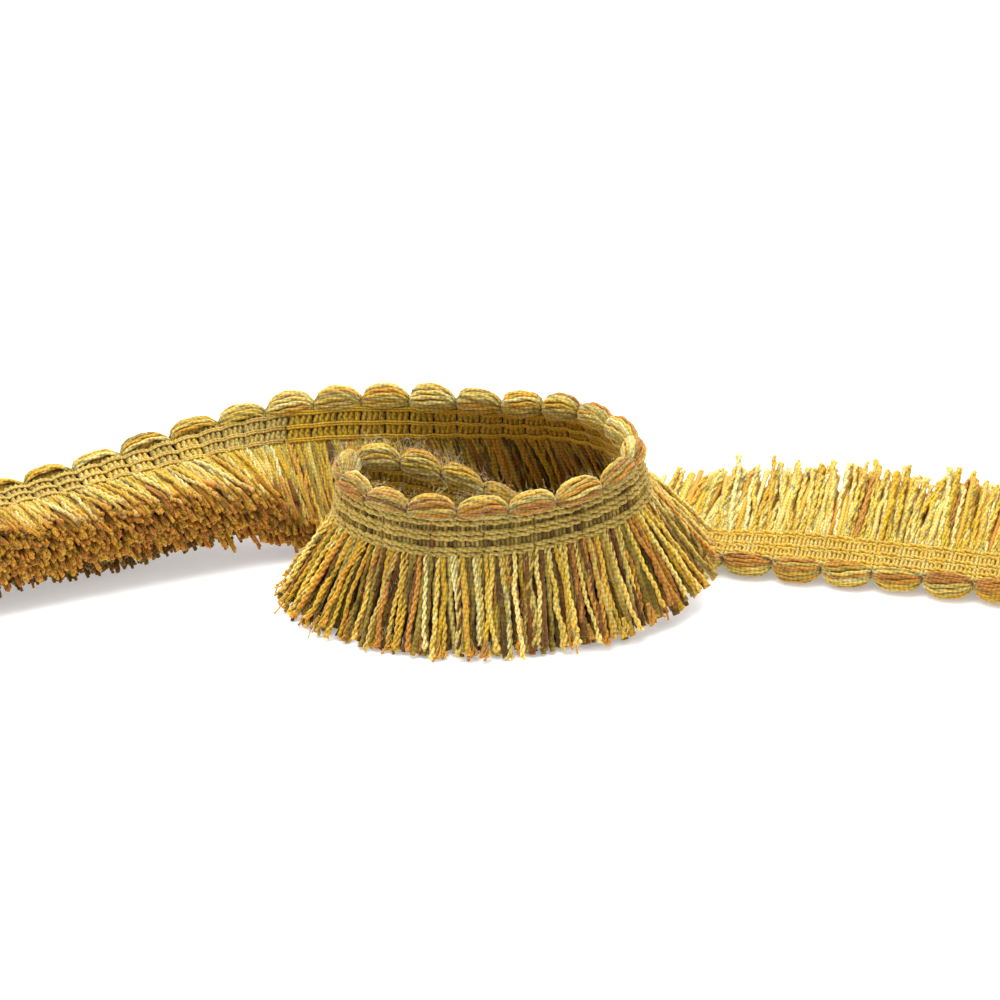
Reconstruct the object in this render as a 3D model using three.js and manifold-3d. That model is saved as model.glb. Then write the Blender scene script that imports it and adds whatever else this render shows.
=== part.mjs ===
// A length of brush fringe trim lying in a loop. A woven heading carries a scalloped edge of plied yarn along its
// top and a thick cut brush of twisted yarn along its foot. The left stretch lies back on its own brush, the middle
// stands up as a ring on the splayed brush and curls in on itself, and the right stretch passes under the ring and
// lies flat. Millimetres, +Z up, origin at the middle of the foot of the bounding box.

import * as THREE from 'three';
import { mergeVertices } from 'three/addons/utils/BufferGeometryUtils.js';
import Module from 'manifold-3d';

const wasm = await Module();
wasm.setup();

// Driving sizes
const HEADING_REACH = 14;       // middle of the scallops to the roots of the fringe
const HEADING_TOP = 4.1;        // the band starts clear of the widest puff
const STRAND_LENGTH = 30;       // roots to cut ends
const PUFF_RADIUS = 3.75;
const NIP_RADIUS = 2.2;
const WEB_HALF = 1.0;           // half the thickness of the woven band between its cords
const CORD_RISE = 0.8;          // how far a pair of warp cords stands off the band
const BOUND_RISE = 0.3;         // the same where a binding pulls it down
const CORD_ROWS = [5.8, 8.8, 11.8];
const CORD_HALF = 0.8;
const CORD_SHOULDER = 1.5;
const CLEARANCE = 0.3;          // between neighbouring pieces
const FACE_CLEARANCE = 0.8;     // between the brush and the locks on its twisting faces
const ROOT_HALF = 1.3;          // half the thickness of the brush at its roots
const CUT_UNEVEN = 1.4;         // how far the cut ends stand in or out
const STRIP_WIDTH = 2.2;
const STRIP_THICK = 1.2;
const LOCKS_PER_PUFF = 6;
const LOCK_FILL = 0.7;          // share of its pitch that a lock takes
const LOCK_RISE = 1.0;
const LOCK_SINK = 0.1;          // a lock starts this much above the underside of its strip
const LOCK_TOP = 0.6;           // its rise at the roots, as a share of the rise at its tip
const LOCK_UNEVEN = 0.03;       // share of the length by which the locks' tips differ
const STRIP_START = 0.02;       // share of the way down the face at which the strip begins
const BACK_SWELL = 0.2;         // how far the band bulges on its inner face
const SWELL_POWER = 0.7;        // below 1 the puffs are full and the nips narrow
const TRAVEL_STEP = 0.02;       // part of a row over which the way along the trim is measured
const SECTIONS_PER_PUFF = 4;
const FIRST_NIP = -2.5;
const LAST_NIP = 38.5;
const CENTRE_X = -3.31;         // middle of the bounding box, which the part is moved to
const CENTRE_Y = -6.46;

// The way the trim lies, a row for each place where it changes. puff counts the scallops along it, x and y are the
// middle of the scallop edge, lean is how far the heading tips outward from hanging straight down, outer and inner
// are the same for the outer and inner face of the brush, sweep is how far its yarns drag along the trim (degrees),
// and root is the height of the fringe's roots.
const COLUMNS = ['puff', 'x', 'y', 'lean', 'outer', 'inner', 'sweep', 'root'];
const STATIONS = [
  [-2.6, -188, -8, -88, -50, -108, 0, 19],
  [-0.6, -160, 6.5, -88, -49, -108, 0, 19.5],
  [1.05, -137, 17.5, -84, -47, -108, 2, 20.5],
  [3.0, -109, 30, -73, -41, -104, 8, 23],
  [4.95, -80, 40, -55, -31, -82, 20, 25],
  [6.95, -50, 37.5, -26, -14, -46, 24, 27.5],
  [8.95, -21, 31, 4, 16, -10, 22, 29],
  [10.7, 3, 28.5, 20, 40, 20, 14, 29],
  [12.05, 19, 21.5, 24, 51, 40, 8, 31],
  [13.3, 31, 6.5, 22, 50, 40, 3, 33],
  [14.75, 39, -15, 16, 49, 40, 0, 33],
  [15.9, 35.5, -30, 12, 47, 38, 0, 31.5],
  [17.05, 22, -38.5, 7, 39, 22, 0, 28],
  [18.5, 2.5, -44, 5, 34, 10, 0, 26],
  [19.95, -19, -44.5, 5, 33, 8, 0, 25.5],
  [21.3, -36, -37, 7, 34, 10, 0, 26],
  [22.5, -45, -24, 8, 34, 12, 0, 26.5],
  [23.4, -43, -13.5, 8, 28, 12, 0, 28],
  [24.2, -33, -12, 10, 20, 6, 0, 29],
  [25.7, -15, -14, 26, 32, 20, 0, 27],
  [27.1, 3, -10, 46, 62, 52, 8, 19],
  [28.5, 23, -4, 80, 85, 75, 24, 8.2],
  [29.9, 44, -1, 95, 91, 79, 14, 5.8],
  [31.45, 66, -6, 101, 98, 77, 0, 6.7],
  [33.0, 88.5, -11.5, 110, 111, 72, 0, 8.8],
  [35.0, 118, -18.5, 110, 112, 72, 0, 8.8],
  [38.6, 171, -33, 110, 112, 72, 0, 8.8],
].map((row) => Object.fromEntries(COLUMNS.map((name, column) => [name, row[column]])));

// Stretches of the brush whose face shows yarn locks, from one puff to another, side 1 for the outer face
const LOCK_STRETCHES = [
  { name: 'locks_left', side: -1, from: -2.4, to: 9.5 },
  { name: 'locks_ring', side: 1, from: 9.8, to: 26.4 },
  { name: 'locks_right', side: 1, from: 31.9, to: 38.4 },
];

// The row at a place between two stations, on a smooth curve through all of them
function rowAt(place) {
  const last = STATIONS.length - 1;
  const first = Math.min(Math.max(Math.floor(place), 0), last - 1);
  const w = place - first;
  const row = {};
  for (const name of COLUMNS) {
    const value = (index) => {
      if (index < 0) return 2 * STATIONS[0][name] - STATIONS[1][name];
      if (index > last) return 2 * STATIONS[last][name] - STATIONS[last - 1][name];
      return STATIONS[index][name];
    };
    const [a, b, c, d] = [value(first - 1), value(first), value(first + 1), value(first + 2)];
    row[name] = 0.5 * (2 * b + (c - a) * w + (2 * a - 5 * b + 4 * c - d) * w * w + (3 * b - a - 3 * c + d) * w ** 3);
  }
  return row;
}

// The place at which the count of puffs reaches a number, by halving
function placeOf(puff) {
  let low = 0;
  let high = STATIONS.length - 1;
  for (let step = 0; step < 40; step += 1) {
    const middle = (low + high) / 2;
    if (rowAt(middle).puff < puff) low = middle;
    else high = middle;
  }
  return (low + high) / 2;
}

const radians = THREE.MathUtils.degToRad;
const mix = (a, b, share) => a.clone().lerp(b, share);
const along = (start, direction, distance) => start.clone().addScaledVector(direction, distance);

// The directions and key points of the trim at a puff count
function frameAt(puff) {
  const place = placeOf(puff);
  const row = rowAt(place);
  const before = rowAt(place - TRAVEL_STEP);
  const after = rowAt(place + TRAVEL_STEP);
  const travel = new THREE.Vector3(after.x - before.x, after.y - before.y, 0).normalize();
  const out = new THREE.Vector3(-travel.y, travel.x, 0);
  const hang = (angle) => new THREE.Vector3(0, 0, -Math.cos(radians(angle))).addScaledVector(out, Math.sin(radians(angle)));
  const heading = hang(row.lean);
  const face = new THREE.Vector3().crossVectors(travel, heading);
  const root = new THREE.Vector3(row.x - CENTRE_X, row.y - CENTRE_Y, 0).addScaledVector(heading, HEADING_REACH);
  root.z = row.root;
  const bead = along(root, heading, -HEADING_REACH);
  const strand = (angle) => hang(angle).multiplyScalar(Math.cos(radians(row.sweep)))
    .addScaledVector(travel, Math.sin(radians(row.sweep)));
  return { row, travel, heading, face, root, bead, strand };
}

// Where a strand that leaves the roots at an angle ends: at its own length, or on the floor
function strandEnd(frame, angle, extra = 0) {
  const direction = frame.strand(angle);
  const wanted = STRAND_LENGTH + extra;
  const reach = direction.z < 0 ? Math.min(wanted, frame.root.z / -direction.z) : wanted;
  const end = along(frame.root, direction, reach);
  end.z = Math.max(end.z, 0);
  return end;
}

// A slow uneven wave, the same each time, from -1 to 1
const uneven = (value) => 0.5 * Math.sin(value * 2.3) + 0.3 * Math.sin(value * 5.9 + 1) + 0.2 * Math.sin(value * 11.3 + 2);

// A closed solid through a row of sections that have the same number of points. Where a face twists, each of its
// four-sided facets is folded along the diagonal that keeps to the inside.
function loft(sections, outline) {
  const count = outline.length;
  const points = sections.flat();
  const positions = points.flatMap((point) => point.toArray());
  const index = [];
  for (let ring = 0; ring + 1 < sections.length; ring += 1) {
    const both = points.slice(ring * count, (ring + 2) * count);
    const middle = both.reduce((sum, point) => sum.add(point), new THREE.Vector3()).divideScalar(both.length);
    for (let corner = 0; corner < count; corner += 1) {
      const next = (corner + 1) % count;
      const a = ring * count + corner;
      const b = ring * count + next;
      const [c, d] = [b + count, a + count];
      const across = mix(points[a], points[c], 0.5).distanceTo(middle);
      const other = mix(points[b], points[d], 0.5).distanceTo(middle);
      if (across <= other) index.push(a, b, c, a, c, d);
      else index.push(a, b, d, b, c, d);
    }
  }
  const end = (sections.length - 1) * count;
  const clockwise = THREE.ShapeUtils.isClockWise(outline);
  for (const [a, p, q] of THREE.ShapeUtils.triangulateShape(outline, [])) {
    const [b, c] = clockwise ? [q, p] : [p, q];
    index.push(a, c, b, end + a, end + b, end + c);
  }
  const geometry = new THREE.BufferGeometry();
  geometry.setAttribute('position', new THREE.Float32BufferAttribute(positions, 3));
  geometry.setIndex(index);
  return facingOut(geometry);
}

// Turns the triangles round if they enclose a negative volume
function facingOut(geometry) {
  const position = geometry.attributes.position;
  const index = geometry.index.array;
  const [a, b, c] = [new THREE.Vector3(), new THREE.Vector3(), new THREE.Vector3()];
  let volume = 0;
  for (let i = 0; i < index.length; i += 3) {
    a.fromBufferAttribute(position, index[i]);
    b.fromBufferAttribute(position, index[i + 1]);
    c.fromBufferAttribute(position, index[i + 2]);
    volume += a.dot(b.cross(c));
  }
  if (volume < 0) {
    for (let i = 0; i < index.length; i += 3) [index[i], index[i + 1]] = [index[i + 1], index[i]];
  }
  return geometry;
}

// Puff counts from one to another, a few to each puff
function counts(from, to, perPuff) {
  const steps = Math.round((to - from) * perPuff);
  return Array.from({ length: steps + 1 }, (_, step) => from + (to - from) * step / steps);
}

// The scallop edge: a round bundle that swells between its nips
function scallopEdge() {
  const sides = 8;
  const angles = Array.from({ length: sides }, (_, side) => 2 * Math.PI * side / sides);
  const outline = angles.map((angle) => new THREE.Vector2(Math.cos(angle), Math.sin(angle)));
  const sections = counts(FIRST_NIP, LAST_NIP, SECTIONS_PER_PUFF).map((puff) => {
    const frame = frameAt(puff);
    const swell = Math.abs(Math.cos(Math.PI * puff)) ** SWELL_POWER;
    const radius = NIP_RADIUS + (PUFF_RADIUS - NIP_RADIUS) * swell;
    return angles.map((angle) => along(along(frame.bead, frame.heading, radius * Math.cos(angle)),
      frame.face, radius * Math.sin(angle)));
  });
  return loft(sections, outline);
}

// The woven band: three raised rows of cords on the outer face, a soft swell on the inner one
function heading() {
  const bottom = HEADING_REACH - CLEARANCE;
  const profile = (rise) => {
    const points = [[HEADING_TOP, WEB_HALF]];
    for (const [number, row] of CORD_ROWS.entries()) {
      points.push([row - CORD_HALF, WEB_HALF + rise], [row + CORD_HALF, WEB_HALF + rise]);
      if (number + 1 < CORD_ROWS.length) points.push([row + CORD_SHOULDER, WEB_HALF]);
    }
    points.push([bottom, WEB_HALF], [bottom, -WEB_HALF], [(bottom + HEADING_TOP) / 2, -WEB_HALF - BACK_SWELL],
      [HEADING_TOP, -WEB_HALF]);
    return points;
  };
  const outline = profile(CORD_RISE).map(([down, off]) => new THREE.Vector2(down, off));
  const sections = counts(FIRST_NIP, LAST_NIP, SECTIONS_PER_PUFF).map((puff, number) => {
    const frame = frameAt(puff);
    const rise = number % 2 ? CORD_RISE : BOUND_RISE;
    return profile(rise).map(([down, off]) => along(along(frame.bead, frame.heading, down), frame.face, off));
  });
  return loft(sections, outline);
}

// Two points of the brush's face on one side, at its roots and at its cut ends
function faceEnds(frame, side) {
  const angle = side > 0 ? frame.row.outer : frame.row.inner;
  const start = along(frame.root, frame.face, side * ROOT_HALF);
  return [along(start, frame.heading, CLEARANCE / 2), strandEnd(frame, angle)];
}

// The brush: a wedge of yarn that widens from its roots to uneven cut ends and stands on the floor
function brushWall() {
  const layers = [0, 0.25, 0.5, 0.75, 1];
  const fan = layers.map((share) => {
    const angle = radians(30 - 60 * share);
    return new THREE.Vector2(Math.cos(angle) * STRAND_LENGTH, Math.sin(angle) * STRAND_LENGTH);
  });
  const outline = [new THREE.Vector2(0, ROOT_HALF), ...fan, new THREE.Vector2(0, -ROOT_HALF)];
  const sections = counts(FIRST_NIP, LAST_NIP, SECTIONS_PER_PUFF).map((puff) => {
    const frame = frameAt(puff);
    const ends = layers.map((share) => {
      const angle = frame.row.outer + (frame.row.inner - frame.row.outer) * share;
      const rim = share === 0 || share === 1;
      return strandEnd(frame, angle, rim ? 0 : CUT_UNEVEN * uneven(puff * 4 + share * 9));
    });
    return [faceEnds(frame, 1)[0], ...ends, faceEnds(frame, -1)[0]];
  });
  return loft(sections, outline);
}

// A point off the brush's face: share of the way to the cut ends, and distance off it
function offFace(puff, side, share, off) {
  const frame = frameAt(puff);
  const [start, end] = faceEnds(frame, side);
  const fall = end.clone().sub(start).normalize();
  const normal = new THREE.Vector3().crossVectors(frame.travel, fall).normalize().multiplyScalar(side);
  const point = along(mix(start, end, share), normal, off);
  point.z = Math.max(point.z, 0);
  return point;
}

// The narrow strip that holds a row of locks along the top of the brush's face
function lockStrip({ side, from, to }) {
  const outline = [[0, 0], [1, 0], [1, 1], [0, 1]].map(([x, y]) => new THREE.Vector2(x, y));
  const [near, far] = [STRIP_START, STRIP_WIDTH / STRAND_LENGTH];
  const sections = counts(from, to, SECTIONS_PER_PUFF).map((puff) => [
    offFace(puff, side, near, FACE_CLEARANCE),
    offFace(puff, side, far, FACE_CLEARANCE),
    offFace(puff, side, far, FACE_CLEARANCE + STRIP_THICK),
    offFace(puff, side, near, FACE_CLEARANCE + STRIP_THICK),
  ]);
  return loft(sections, outline);
}

// One lock: three sides, flat against the brush, its root inside the strip
function lock(puff, side, number) {
  const half = 0.5 * LOCK_FILL / LOCKS_PER_PUFF;
  const outline = [[0, 0], [1, 0], [0.5, 1]].map(([x, y]) => new THREE.Vector2(x, y));
  const base = FACE_CLEARANCE + LOCK_SINK;
  const share = 1 - LOCK_UNEVEN * (1 - uneven(number * 1.7));
  const lean = 0.25 * half * uneven(number * 3.1);
  const sections = [[2 * STRIP_START, LOCK_TOP], [share, 1]].map(([down, rise]) => [
    offFace(puff - half + lean * down, side, down, base),
    offFace(puff + half + lean * down, side, down, base),
    offFace(puff + lean * down, side, down, base + LOCK_RISE * rise),
  ]);
  return loft(sections, outline);
}

function toSolid(geometry) {
  const bare = mergeVertices(geometry, 1e-5);
  return new wasm.Manifold(new wasm.Mesh({
    numProp: 3,
    vertProperties: new Float32Array(bare.attributes.position.array),
    triVerts: new Uint32Array(bare.index.array),
  }));
}

function toGeometry(solid) {
  const mesh = solid.getMesh();
  const geometry = new THREE.BufferGeometry();
  geometry.setAttribute('position', new THREE.BufferAttribute(new Float32Array(mesh.vertProperties), 3));
  geometry.setIndex(new THREE.BufferAttribute(new Uint32Array(mesh.triVerts), 1));
  return geometry;
}

// A strip with its locks, fused into one body
function lockRow(stretch) {
  let solid = toSolid(lockStrip(stretch));
  const total = Math.floor((stretch.to - stretch.from) * LOCKS_PER_PUFF);
  for (let number = 0; number < total; number += 1) {
    const puff = stretch.from + (number + 0.5) / LOCKS_PER_PUFF;
    solid = solid.add(toSolid(lock(puff, stretch.side, number)));
  }
  return toGeometry(solid);
}

const scallopYarn = new THREE.MeshStandardMaterial({ color: '#c3a052', roughness: 0.9, metalness: 0 });
const headingYarn = new THREE.MeshStandardMaterial({ color: '#a48c3c', roughness: 0.9, metalness: 0 });
const brushYarn = new THREE.MeshStandardMaterial({ color: '#a9802f', roughness: 0.95, metalness: 0 });

const trim = new THREE.Group();

function place(name, geometry, material) {
  const mesh = new THREE.Mesh(geometry, material);
  mesh.name = name;
  trim.add(mesh);
}

place('scallop_edge', scallopEdge(), scallopYarn);
place('heading', heading(), headingYarn);
place('brush_wall', brushWall(), brushYarn);
for (const stretch of LOCK_STRETCHES) place(stretch.name, lockRow(stretch), brushYarn);

export default trim;
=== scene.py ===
"""Brush fringe trim, dressed for the studio.

A woven heading carries an edge of yarn scallops along its top and a thick brush of cut, plied yarn along its
foot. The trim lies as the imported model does: the left stretch on its side, the middle standing as a ring, and
the right stretch flat. Every yarn is a mesh of its own thickness and twist. Sizes are in millimetres until a
mesh is made, and places along the trim are puff counts, the number of scallops passed.
"""

import logging
import math
from dataclasses import dataclass, field
from enum import Enum

import bmesh
import bpy
import numpy as np
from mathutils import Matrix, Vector

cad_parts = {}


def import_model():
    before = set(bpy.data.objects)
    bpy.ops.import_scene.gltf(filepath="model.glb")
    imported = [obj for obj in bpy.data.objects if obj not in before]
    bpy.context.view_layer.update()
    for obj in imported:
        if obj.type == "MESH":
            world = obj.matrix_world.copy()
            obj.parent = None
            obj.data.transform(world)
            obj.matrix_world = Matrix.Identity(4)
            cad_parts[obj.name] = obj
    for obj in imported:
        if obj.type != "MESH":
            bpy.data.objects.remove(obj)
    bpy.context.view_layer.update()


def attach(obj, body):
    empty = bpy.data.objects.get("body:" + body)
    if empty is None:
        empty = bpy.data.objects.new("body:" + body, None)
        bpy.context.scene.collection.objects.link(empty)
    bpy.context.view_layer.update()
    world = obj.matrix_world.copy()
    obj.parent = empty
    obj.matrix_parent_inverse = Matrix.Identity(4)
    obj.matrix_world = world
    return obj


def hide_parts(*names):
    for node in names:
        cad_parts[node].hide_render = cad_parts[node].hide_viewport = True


LOG = logging.getLogger("brush_fringe")

MM = 0.001
TINY = 1e-9
BODY = "root"

# The trim's own sizes, in millimetres, as in the solids
HEADING_REACH = 14.0
STRAND_LENGTH = 30.0
ROOT_HALF = 1.3
WEB_HALF = 1.0
FIRST_NIP = -2.5
LAST_NIP = 38.5
PUFF_LENGTH = 15.0
# Middle of the trim's box, in the coordinates of the table below
CENTRE = (-3.31, -6.46, 0.0)
# The heading is olive up to this puff count and gold beyond it
GOLD_FROM = 27.5

# How the trim lies: puff count, x and y of the scallop edge, lean of the heading, lean of the outer and
# of the inner face of the brush, sweep of its yarns along the trim (degrees), and height of the roots
STATIONS = (
    (-2.6, -188, -8, -88, -60, -108, 0, 19),
    (-0.6, -160, 6.5, -88, -59, -108, 0, 19.5),
    (1.05, -137, 17.5, -84, -55, -108, 2, 20.5),
    (3.0, -109, 30, -73, -51, -104, 8, 23),
    (4.95, -80, 40, -55, -42, -82, 20, 25),
    (6.95, -50, 37.5, -26, -20, -46, 24, 27.5),
    (8.95, -21, 31, 4, 16, -10, 22, 29),
    (10.7, 3, 28.5, 20, 36, 20, 14, 29),
    (12.05, 19, 21.5, 24, 38, 30, 8, 31),
    (13.3, 31, 6.5, 22, 38, 30, 3, 33),
    (14.75, 39, -15, 16, 37, 29, 0, 33),
    (15.9, 35.5, -30, 12, 33, 25, 0, 31.5),
    (17.05, 22, -38.5, 7, 35, 20, 0, 28),
    (18.5, 2.5, -44, 5, 34, 10, 0, 26),
    (19.95, -19, -44.5, 5, 33, 8, 0, 25.5),
    (21.3, -36, -37, 7, 34, 10, 0, 26),
    (22.5, -45, -24, 8, 34, 12, 0, 26.5),
    (23.4, -43, -13.5, 8, 28, 12, 0, 28),
    (24.2, -33, -12.5, 10, 20, 6, 0, 28.2),
    (25.7, -15, -15, 26, 32, 20, 0, 25.4),
    (27.1, 3, -11, 46, 62, 52, 8, 17.4),
    (28.5, 23, -4, 80, 85, 75, 24, 8.2),
    (29.9, 44, -1, 95, 99, 79, 14, 5.8),
    (31.45, 66, -6, 101, 106, 77, 0, 6.7),
    (33.0, 88.5, -11.5, 110, 111, 72, 0, 8.8),
    (35.0, 118, -18.5, 110, 112, 72, 0, 8.8),
    (38.6, 171, -33, 110, 112, 72, 0, 8.8),
)


class Slot(Enum):
    """The record's material slots."""

    SCALLOP = "scallop_yarn"
    HEADING = "heading_yarn"
    BRUSH = "brush_yarn"


class Dye(Enum):
    """The colours that the yarns are dyed, in the order in which they follow each other on the dye card."""

    CREAM = 0
    STRAW = 1
    LEMON = 2
    MUSTARD = 3
    GOLD = 4
    OCHRE = 5
    TERRACOTTA = 6
    RUST = 7
    UMBER = 8
    OLIVE = 9
    MOSS = 10


DYE_HEX = {
    Dye.CREAM: "#f0d48a",
    Dye.STRAW: "#ddb24c",
    Dye.LEMON: "#dba826",
    Dye.MUSTARD: "#bd931c",
    Dye.GOLD: "#d0a035",
    Dye.OCHRE: "#ca8823",
    Dye.TERRACOTTA: "#b57a2f",
    Dye.RUST: "#7c4a16",
    Dye.UMBER: "#4c340d",
    Dye.OLIVE: "#8a7223",
    Dye.MOSS: "#c2a250",
}


def linear(hex_colour: str) -> tuple[float, float, float, float]:
    """Turns an sRGB hex colour to linear.

    Args:
        hex_colour: The colour as #rrggbb.

    Returns:
        Linear red, green, blue and an alpha of 1.
    """
    parts = [int(hex_colour[at : at + 2], 16) / 255 for at in (1, 3, 5)]
    red, green, blue = (c / 12.92 if c <= 0.04045 else ((c + 0.055) / 1.055) ** 2.4 for c in parts)
    return red, green, blue, 1.0


def smooth(value: np.ndarray) -> np.ndarray:
    """A soft step from 0 to 1 as the value goes from 0 to 1."""
    held = np.clip(value, 0, 1)
    return held * held * (3 - 2 * held)


def unit(vectors: np.ndarray) -> np.ndarray:
    """The vectors, each of length 1."""
    return vectors / np.maximum(np.linalg.norm(vectors, axis=-1, keepdims=True), TINY)


def column(values: np.ndarray) -> np.ndarray:
    """Numbers with one more axis, so that each multiplies a vector."""
    return np.asarray(values)[..., None]


@dataclass
class Spot:
    """The directions and key points of the trim at many puff counts at once."""

    root: np.ndarray
    travel: np.ndarray
    out: np.ndarray
    lean: np.ndarray
    outer: np.ndarray
    inner: np.ndarray
    sweep: np.ndarray

    def hang(self, angle: np.ndarray) -> np.ndarray:
        """The direction that hangs down and tips outward by the angle, in degrees."""
        turned = np.radians(angle)
        return column(np.sin(turned)) * self.out - column(np.cos(turned)) * np.array([0.0, 0.0, 1.0])

    @property
    def heading(self) -> np.ndarray:
        """From the scallops towards the roots of the fringe."""
        return self.hang(self.lean)

    @property
    def face(self) -> np.ndarray:
        """Out of the heading's outer face."""
        return np.cross(self.travel, self.heading)

    def on_band(self, down: np.ndarray, off: np.ndarray) -> np.ndarray:
        """A point on the heading.

        Args:
            down: Distance below the middle of the scallops.
            off: Distance off the middle of the band, above 0 on its outer face.

        Returns:
            The points.
        """
        return self.root + column(np.asarray(down) - HEADING_REACH) * self.heading + column(off) * self.face

    def strand(self, angle: np.ndarray, drag: np.ndarray) -> np.ndarray:
        """The direction of a yarn of the brush.

        Args:
            angle: How far it leans outward, in degrees.
            drag: How far it leans along the trim, beyond what the trim's own sweep is, in degrees.

        Returns:
            The directions.
        """
        turned = np.radians(self.sweep + drag)
        return column(np.cos(turned)) * self.hang(angle) + column(np.sin(turned)) * self.travel


class Lie:
    """The way that the trim lies, read at any puff count."""

    STEP = 0.005
    REACH = 0.02

    def __init__(self) -> None:
        """Samples the smooth curve through the stations finely."""
        table = np.array(STATIONS, dtype=float)
        self._rows = np.vstack([2 * table[0] - table[1], table, 2 * table[-1] - table[-2]])
        self._last = len(table) - 1
        place = np.arange(0, self._last + self.STEP / 2, self.STEP)
        rows = self._row_at(place)
        before, after = self._row_at(place - self.REACH), self._row_at(place + self.REACH)
        travel = unit(after[:, 1:3] - before[:, 1:3])
        self._puff = rows[:, 0]
        self._columns = np.column_stack([rows[:, 1:], travel])

    def _row_at(self, place: np.ndarray) -> np.ndarray:
        """The row at places between the stations, on a uniform cubic curve through all of them."""
        first = np.clip(np.floor(place), 0, self._last - 1).astype(int)
        w = (place - first)[:, None]
        a, b, c, d = (self._rows[first + step] for step in range(4))
        square, cube = 2 * a - 5 * b + 4 * c - d, 3 * b - a - 3 * c + d
        return 0.5 * (2 * b + (c - a) * w + square * w**2 + cube * w**3)

    def at(self, puff: np.ndarray) -> Spot:
        """The trim's frame at puff counts of any shape.

        Args:
            puff: The puff counts.

        Returns:
            The frames, each field shaped as the counts are.
        """
        puff = np.asarray(puff, dtype=float)
        values = [np.interp(puff, self._puff, self._columns[:, n]) for n in range(self._columns.shape[1])]
        x, y, lean, outer, inner, sweep, height, tx, ty = values
        flat = np.zeros_like(puff)
        travel = unit(np.stack([tx, ty, flat], -1))
        out = np.stack([-travel[..., 1], travel[..., 0], flat], -1)
        spot = Spot(np.stack([x, y, flat], -1) - np.array(CENTRE), travel, out, lean, outer, inner, sweep)
        spot.root = spot.root + HEADING_REACH * spot.heading
        spot.root[..., 2] = height
        return spot


@dataclass(frozen=True)
class Twist:
    """How a yarn is spun.

    It has a number of plies, the sides of each, their radius, how far they stand off the middle, and the
    lay, which is the length of one whole turn.
    """

    plies: int
    sides: int
    radius: float
    offset: float
    lay: float


FRINGE_YARN = Twist(plies=2, sides=4, radius=0.47, offset=0.37, lay=5.4)
WOOLLY_YARN = Twist(plies=2, sides=4, radius=0.62, offset=0.3, lay=8.0)
SOFT_YARN = Twist(plies=2, sides=4, radius=0.54, offset=0.3, lay=8.5)
FILL_YARN = Twist(plies=1, sides=5, radius=0.78, offset=0.0, lay=6.0)
CUT_YARN = Twist(plies=2, sides=4, radius=0.52, offset=0.36, lay=40.0)
TUFT_YARN = Twist(plies=6, sides=3, radius=0.2, offset=0.42, lay=12.0)
SCALLOP_YARN = Twist(plies=2, sides=4, radius=0.44, offset=0.29, lay=11.0)
CORD_YARN = Twist(plies=2, sides=4, radius=0.62, offset=0.34, lay=6.5)
RIB_YARN = Twist(plies=1, sides=4, radius=0.68, offset=0.0, lay=5.0)
BACK_YARN = Twist(plies=2, sides=4, radius=0.86, offset=0.26, lay=7.0)
BACK_CORD = Twist(plies=1, sides=5, radius=0.36, offset=0.0, lay=5.0)
THREAD = Twist(plies=1, sides=4, radius=0.19, offset=0.0, lay=2.0)
HAIR = Twist(plies=1, sides=3, radius=0.04, offset=0.0, lay=4.0)


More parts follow.
